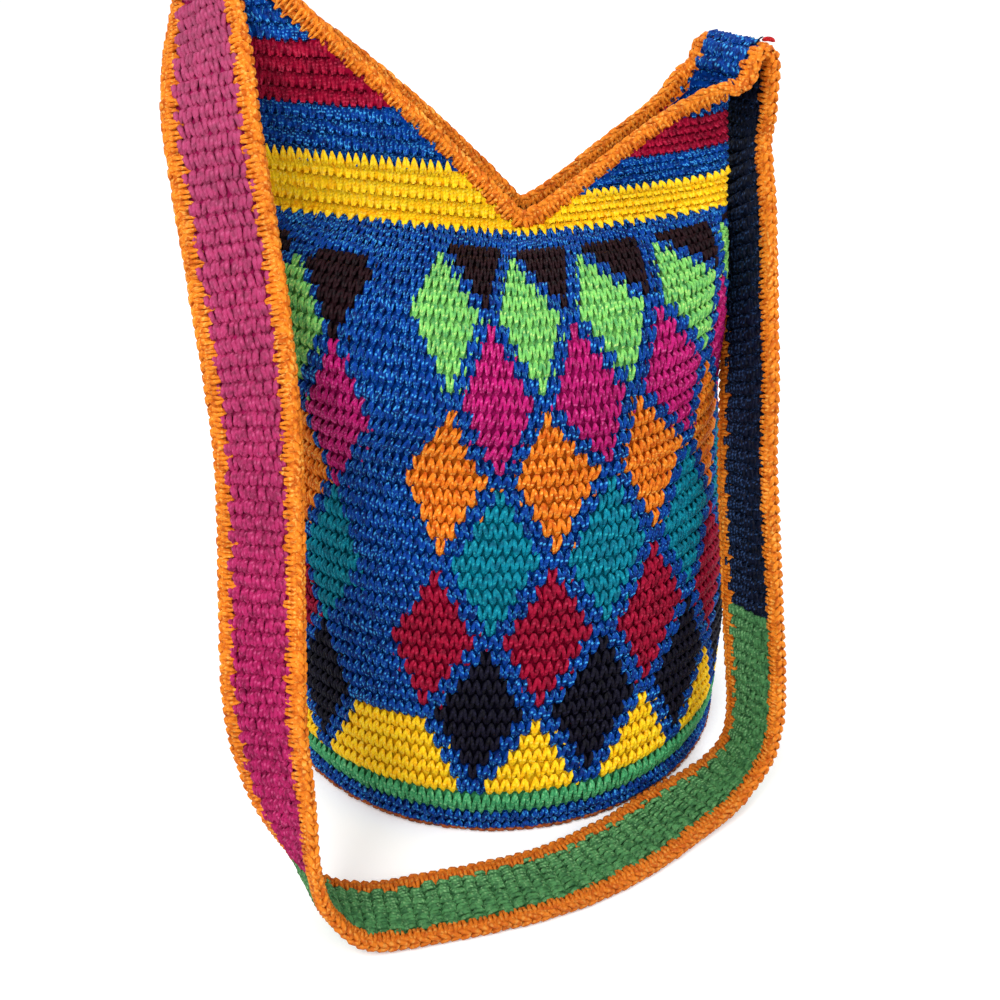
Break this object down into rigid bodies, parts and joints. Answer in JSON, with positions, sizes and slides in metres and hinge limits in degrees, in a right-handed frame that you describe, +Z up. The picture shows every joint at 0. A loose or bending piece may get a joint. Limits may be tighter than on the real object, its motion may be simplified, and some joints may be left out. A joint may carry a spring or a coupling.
{
  "type": "crochet purse",
  "caption": "Crocheted bucket purse with a round base, diamond bands, two striped ears and a flat shoulder strap with braided edging.",
  "frame": {"origin": "centre of the round base, on the surface that the purse stands on", "axes": "+Z up, +X to the bag's right as seen from the front, -Y its front"},
  "size_m": [0.2092, 0.2424, 0.3133],
  "materials": {
    "bag_yarn": "cotton yarn in many colours, tapestry crochet",
    "strap_yarn": "cotton yarn in lengths of three colours, plain crochet",
    "edging_yarn": "cotton yarn, braided edging",
    "end_yarn": "loose end of cotton yarn"
  },
  "bodies": {
    "root": {"bag_body": "bag_yarn", "strap": "strap_yarn", "edging_front": "edging_yarn", "edging_back": "edging_yarn", "yarn_end": "end_yarn"}
  },
  "joints": []
}
